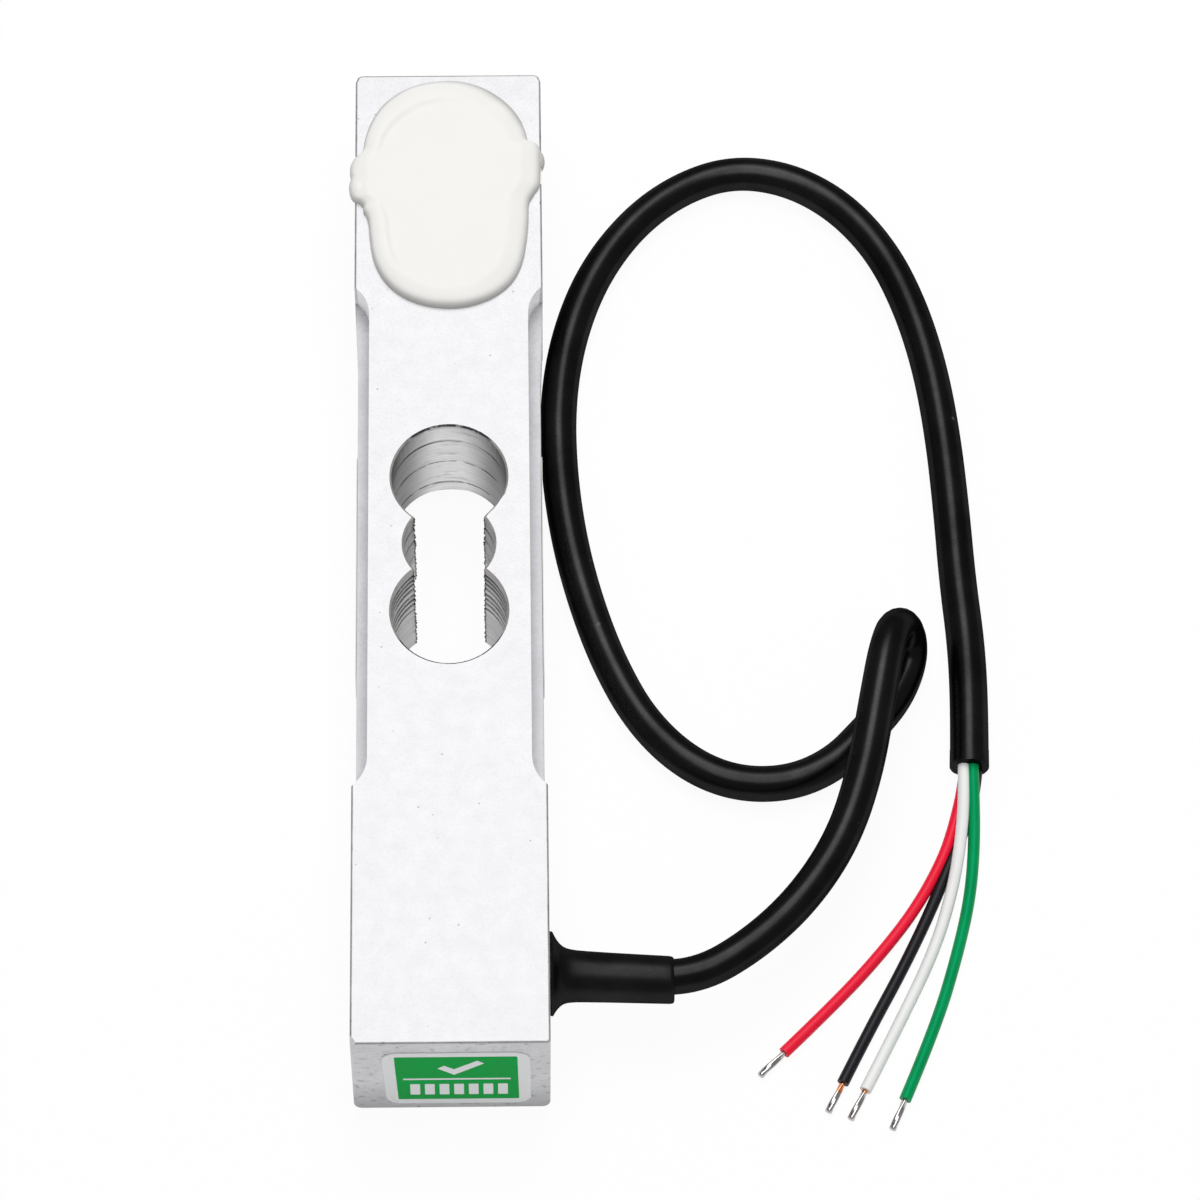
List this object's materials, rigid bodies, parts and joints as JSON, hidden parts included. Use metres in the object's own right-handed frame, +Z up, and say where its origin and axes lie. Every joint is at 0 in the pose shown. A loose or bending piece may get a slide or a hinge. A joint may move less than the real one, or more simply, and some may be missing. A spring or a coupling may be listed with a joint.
{
  "type": "bar load cell",
  "caption": "Straight single-point bar load cell with a milled triple hole, white silicone seal, end label and a rubber-booted black cable with stripped coloured wires.",
  "frame": {"origin": "middle of the long face that the bar lies on, at half its length and width", "axes": "+Y along the bar from the cable end to the sealed end, +Z up along the flexure hole's axis, +X out of the face that the cable leaves"},
  "size_m": [0.088, 0.1543, 0.024],
  "materials": {
    "bar_aluminium": "bead-blasted satin with milled bores",
    "seal_silicone": "glossy white silicone",
    "boot_rubber": "satin moulded rubber",
    "jacket_pvc": "satin black jacket",
    "core_red": "glossy insulation",
    "core_black": "glossy insulation",
    "core_white": "glossy insulation",
    "core_green": "glossy insulation",
    "strand_tinned": "twisted tinned copper",
    "label_vinyl": "printed vinyl with a pale border",
    "gauge_foil": "foil on an amber backing",
    "coat_silicone": "thin white silicone",
    "lead_ribbon": "enamelled copper",
    "board_laminate": "solder-masked laminate",
    "chip_ceramic": "glazed ceramic",
    "bundle_film": "wrapped cores",
    "potting_resin": "cast resin"
  },
  "bodies": {
    "root": {"beam_body": "bar_aluminium", "silicone_cap": "seal_silicone", "strain_relief": "boot_rubber", "cable_jacket": "jacket_pvc", "wire_red": "core_red", "wire_black": "core_black", "wire_white": "core_white", "wire_green": "core_green", "wire_tip_red": "strand_tinned", "wire_tip_black": "strand_tinned", "wire_tip_white": "strand_tinned", "wire_tip_green": "strand_tinned", "end_label": "label_vinyl", "strain_gauge_right_near": "gauge_foil", "strain_gauge_right_far": "gauge_foil", "strain_gauge_left_near": "gauge_foil", "strain_gauge_left_far": "gauge_foil", "gauge_coat_right": "coat_silicone", "gauge_coat_left": "coat_silicone", "gauge_leads_right": "lead_ribbon", "gauge_leads_left": "lead_ribbon", "terminal_board": "board_laminate", "zero_trim_resistor": "chip_ceramic", "zero_drift_resistor": "chip_ceramic", "span_trim_resistor_near": "chip_ceramic", "span_trim_resistor_far": "chip_ceramic", "core_bundle": "bundle_film", "bore_potting": "potting_resin"}
  },
  "joints": []
}
